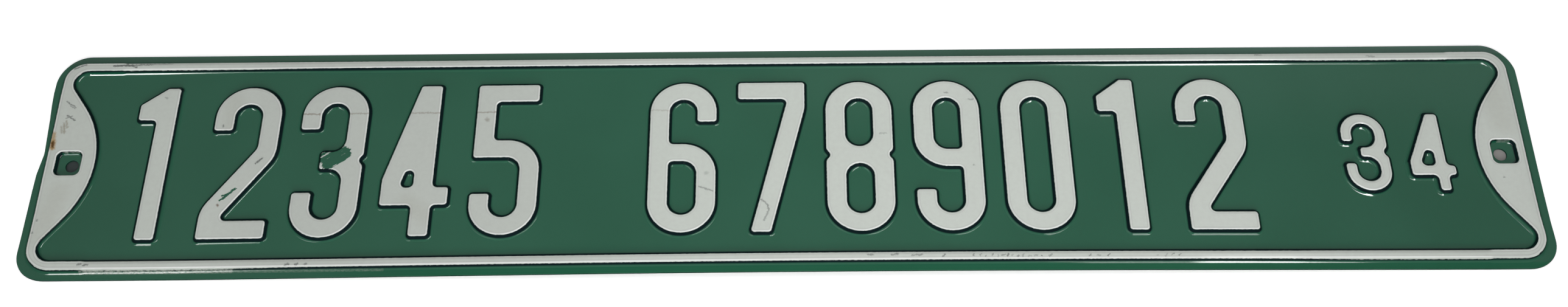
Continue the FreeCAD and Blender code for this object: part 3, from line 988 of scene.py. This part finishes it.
def enamel(name):
    material = bpy.data.materials.new(name)
    material.use_nodes = True
    tree = material.node_tree
    n = Nodes(tree)
    shader = tree.nodes["Principled BSDF"]
    spot = n.vector("MULTIPLY", n.coordinates("Object"), (1 / MM, 1 / MM, 0))
    reach = n.attribute("reach")
    shade = n.attribute("shade")
    polish = n.attribute("polish")
    front = n.attribute("side")
    place = n.axes(spot)

    grain = n.noise(spot, 0.35, 4)
    wander = n.noise(spot, 0.9, 3)["Color"]
    swing = n.vector("MULTIPLY", n.vector("SUBTRACT", wander, (0.5, 0.5, 0.5)), (2.2, 2.2, 0))
    shifted = n.vector("ADD", spot, swing)

    # Off-white coat on the raised faces, down to where the roller lost touch with the shoulder.
    # It is narrower along the middle of the long bands, and wider at the sign's lowest shoulder.
    edge_noise = n.math("MULTIPLY", n.math("SUBTRACT", n.noise(spot, 0.5, 3)["Fac"], 0.5), 0.5)
    on_band = n.ramp(n.math("ABSOLUTE", place["Y"]), 58, 60)
    narrow = n.math("MULTIPLY_ADD", n.ramp(n.math("ABSOLUTE", place["X"]), 350, 280), 0.32, -0.15)
    narrow = n.math("MULTIPLY", on_band, narrow)
    narrow = n.math("MULTIPLY_ADD", n.ramp(place["Y"], -67.0, -68.0), -0.3, narrow)
    rolled = n.ramp(n.math("ADD", n.math("ADD", reach, narrow), edge_noise), 0.16, 0.0)
    rolled = n.math("MULTIPLY", rolled, front)
    chipped = strokes(n, shifted, CHIPS)
    streaks = n.add("ShaderNodeMapping", {"vector_type": "TEXTURE"}, Vector=spot)
    streaks.inputs["Rotation"].default_value = (0, 0, 0.6)
    streaks.inputs["Scale"].default_value = (6.0, 0.6, 1)
    brush = n.noise(streaks.outputs[0], 0.8, 2)["Fac"]
    chipped = n.ramp(n.math("MULTIPLY_ADD", n.math("SUBTRACT", brush, 0.5), 1.8, chipped), 0.5, 0.62)
    coat = n.math("MULTIPLY", rolled, n.math("SUBTRACT", 1.0, chipped, clamp=True))

    broad = n.noise(spot, 0.02, 3)["Fac"]
    white = n.mix(broad, COAT_LOW, COAT_HIGH)
    white = n.mix(n.math("MULTIPLY", n.ramp(grain["Fac"], 0.3, 0.75), 0.16), white, COAT_GRAIN)
    # A stretch of the coat left of the middle is painted darker: painted shade where less light
    # falls on it.
    painted_falloff = n.math("MULTIPLY", n.ramp(place["X"], -380, -300), n.ramp(place["X"], -60, -170))
    white = n.mix(n.math("MULTIPLY", painted_falloff, 0.16), white, COAT_FALLOFF_SHADE)
    # Near its edge the coat has a painted highlight where that faces down or outwards, and a grey
    # line.
    edge_highlight = n.math("MULTIPLY", n.ramp(reach, -1.3, -0.5), n.ramp(reach, 0.1, -0.3))
    facing = n.axes(n.coordinates("Normal"))
    endwards = n.math("MULTIPLY_ADD", facing["X"], 0.8, 0.35)
    lit = n.math("MULTIPLY_ADD", facing["Y"], -1.3, endwards, clamp=True)
    white = n.mix(n.math("MULTIPLY", edge_highlight, lit), white, COAT_HIGHLIGHT)
    inner_line = n.math("MULTIPLY", n.ramp(reach, -1.59, -1.25), n.ramp(reach, -0.75, -1.15))
    white = n.mix(n.math("MULTIPLY", inner_line, 0.4), white, COAT_LINE)
    white = n.mix(strokes(n, shifted, SMEAR), white, SMEAR_COLOUR)
    white = n.mix(strokes(n, shifted, RUST), white, RUST_COLOUR)
    white = n.mix(strokes(n, shifted, BROWN), white, BROWN_COLOUR)
    draw = random.Random(5)
    nicks = []
    for x in NICKS:
        y = draw.uniform(-68.6, -67.6)
        long = draw.uniform(0.3, 1.9)
        rise = draw.uniform(-0.1, 1.3)
        width = draw.uniform(0.15, 0.5)
        strength = draw.uniform(0.3, 0.7)
        nicks.append((x, y, x + long, y + rise, width, 0.5, strength))
    white = n.mix(strokes(n, shifted, DARK + tuple(nicks)), white, DARK_COLOUR)

    # The green, with a painted reflection that makes it paler where its gloss is dull. A painted
    # sheen of reflected light lies on the upper right of the field and on the upper rim. On the
    # lower rim the green is painted a little stronger, where less reflection lies.
    drift = n.ramp(n.noise(spot, 0.012, 2)["Fac"], 0.3, 0.7)
    field = n.mix(drift, GREEN_LOW, GREEN_HIGH)
    field = n.mix(polish, n.vector("ADD", field, DULL_REFLECTION_LIFT), field)
    # Painted sheen: reflected light on the upper right of the field.
    sheen = n.math("MULTIPLY", n.ramp(place["Y"], 0, 58), n.ramp(place["X"], -80, 60))
    sheened = n.mix(sheen, field, n.vector("ADD", field, SHEEN_LIFT))
    # Painted sheen of reflected light on the upper rim, stronger to the right.
    rim_sheen = n.mix(n.ramp(place["X"], 180, 320), UPPER_RIM_SHEEN, UPPER_RIGHT_RIM_SHEEN)
    field = n.mix(n.ramp(place["Y"], 69.5, 71.5), sheened, n.vector("ADD", field, rim_sheen))
    # The lower rim reflects less: its gloss is turned down below, and its green is painted a little
    # stronger.
    lower_rim = n.math("MULTIPLY", n.ramp(place["Y"], -71.3, -72.3), n.ramp(place["X"], -300, -200))
    field = n.mix(lower_rim, field, n.vector("ADD", field, LOWER_RIM_LESS_GLARE))
    # The pressed walls are painted dark green: a painted shade from the top's edge out to the reach
    # in their shade attribute.
    down_the_wall = n.ramp(reach, -0.5, 0.0)
    wall = n.math("MULTIPLY", down_the_wall, n.ramp(n.math("SUBTRACT", reach, shade), 0.5, -0.2))
    green = n.mix(n.math("MULTIPLY", wall, 0.95), field, GREEN_WALL_SHADE)
    # The painted highlights, broken up in patches.
    streaked = n.vector("MULTIPLY", spot, (0.5, 1.4, 1))
    patches = n.ramp(n.noise(streaked, 0.9, 4, 0.7)["Fac"], 0.3, 0.62)
    green = n.mix(n.math("MULTIPLY", strokes(n, spot, PAINTED_GLINTS), patches), green, GLINT_COLOUR)
    green = n.mix(front, GREEN_BACK, green)
    tree.links.new(n.mix(coat, green, white), shader.inputs["Base Color"])

    gloss = n.add("ShaderNodeMapRange", {}, Value=coat)
    gloss.inputs["To Min"].default_value = GREEN_ROUGHNESS
    gloss.inputs["To Max"].default_value = COAT_ROUGHNESS
    tree.links.new(gloss.outputs["Result"], shader.inputs["Roughness"])
    mirror = n.math("MULTIPLY", polish, n.math("SUBTRACT", 0.5, n.math("MULTIPLY", coat, 0.25)))
    mirror = n.math("MULTIPLY", mirror, n.math("MULTIPLY_ADD", lower_rim, -0.45, 1.0))
    tree.links.new(mirror, shader.inputs["Specular IOR Level"])
    return material


sign.data.materials.append(enamel("green_enamel_two_tone"))


# Table, light and camera, in metres

TABLE_HALF = 8.0
TABLE_DROP = 0.0003
CAMERA_TURN = Vector((-0.4601, -0.0044, 0.0077))
SENSOR_WIDTH = 36.0
LENS = 34.73

# Where the middle of the sign's front lies in the camera's own axes, in millimetres.
SIGN_FROM_CAMERA = Vector((0.8, -3.5, -925.3))

floor_mesh = bpy.data.meshes.new("table")
corners = [(TABLE_HALF * x, TABLE_HALF * y, 0) for x, y in ((-1, -1), (1, -1), (1, 1), (-1, 1))]
floor_mesh.from_pydata(corners, [], [(0, 1, 2, 3)])
floor = bpy.data.objects.new("table", floor_mesh)
floor.location.z = -TABLE_DROP
bpy.context.scene.collection.objects.link(floor)
pale = bpy.data.materials.new("pale_table")
pale.use_nodes = True
tree = pale.node_tree
shader = tree.nodes["Principled BSDF"]
shader.inputs["Roughness"].default_value = 0.8
shader.inputs["Specular IOR Level"].default_value = 0.1
n = Nodes(tree)
here = n.coordinates("Object")
place = n.axes(here)
# Under the sign the table is painted darker, near black at the left and grey at the right, as
# painted shade that shows through the sign's two holes.
under_x = n.ramp(n.math("ABSOLUTE", place["X"]), 0.448, 0.444)
under_y = n.ramp(n.math("ABSOLUTE", place["Y"]), 0.068, 0.064)
under = n.math("MULTIPLY", under_x, under_y)
shade_under_sign = n.mix(n.ramp(place["X"], -0.43, 0.43), (0.035, 0.045, 0.045), (0.27, 0.26, 0.25))
tree.links.new(n.mix(under, (0.9, 0.9, 0.9), shade_under_sign), shader.inputs["Base Color"])
# The rest of it lifts itself towards white for the camera and for reflections.
seen = n.add("ShaderNodeLightPath").outputs
mirrored = n.math("ADD", seen["Is Glossy Ray"], seen["Is Transmission Ray"])
lift = n.math("ADD", seen["Is Camera Ray"], mirrored, clamp=True)
shader.inputs["Emission Color"].default_value = (1, 1, 1, 1)
lift = n.math("MULTIPLY", lift, n.math("SUBTRACT", 1.0, under))
# Away from the sign, where the lamps fall off, the table shows its own white instead.
away = n.ramp(n.vector("LENGTH", here, output="Value"), 0.6, 1.3)
glow = n.math("MULTIPLY_ADD", n.math("MULTIPLY", seen["Is Camera Ray"], away), 0.5, 0.45)
tree.links.new(n.math("MULTIPLY", lift, glow), shader.inputs["Emission Strength"])
floor_mesh.materials.append(pale)

world = bpy.data.worlds.new("studio")
bpy.context.scene.world = world
world.use_nodes = True
n = Nodes(world.node_tree)
background = world.node_tree.nodes["Background"]
# The room is pale overhead and dark lower down. The camera itself sees an even white.
up = n.axes(n.coordinates("Generated"))["Z"]
room = n.mix(n.ramp(up, 0.45, 0.9), (0.04, 0.04, 0.04), (0.6, 0.6, 0.6))
backdrop = n.mix(n.add("ShaderNodeLightPath").outputs["Is Camera Ray"], room, (0.95, 0.95, 0.95))
world.node_tree.links.new(backdrop, background.inputs["Color"])


def lamp(name, place, aim, width, depth, power, mirrored):
    """An area lamp that shows in reflections alone, or else gives light alone."""
    data = bpy.data.lights.new(name, "AREA")
    data.shape = "RECTANGLE"
    data.size = width
    data.size_y = depth
    data.energy = power
    made = bpy.data.objects.new(name, data)
    made.location = place
    made.rotation_euler = (Vector(aim) - Vector(place)).to_track_quat("-Z", "Y").to_euler()
    made.visible_glossy = mirrored
    made.visible_diffuse = not mirrored
    bpy.context.scene.collection.objects.link(made)


lamp("top_box", (0.03, 0.08, 0.55), (0.03, 0.05, 0), 0.35, 0.35, 1.33, False)
lamp("front_box", (0.0, -1.6, 0.85), (0.0, 0, 0), 0.9, 0.6, 23, False)
lamp("left_lamp", (-1.36, -0.9, 2.0), (-1.36, -0.9, 0), 0.3, 2.6, 65, True)
lamp("right_lamp", (0.9, -0.9, 2.0), (0.9, -0.9, 0), 0.55, 2.6, 170, True)

to_camera = Matrix.Rotation(CAMERA_TURN.length, 3, CAMERA_TURN.normalized())
camera_data = bpy.data.cameras.new("camera")
camera_data.sensor_fit = "HORIZONTAL"
camera_data.sensor_width = SENSOR_WIDTH
camera_data.lens = LENS
camera = bpy.data.objects.new("camera", camera_data)
eye = (to_camera.transposed() @ -SIGN_FROM_CAMERA + Vector((0, 0, GAUGE))) * MM
camera.matrix_world = Matrix.Translation(eye) @ to_camera.transposed().to_4x4()
bpy.context.scene.collection.objects.link(camera)
bpy.context.scene.camera = camera
bpy.context.scene.view_settings.view_transform = "Standard"
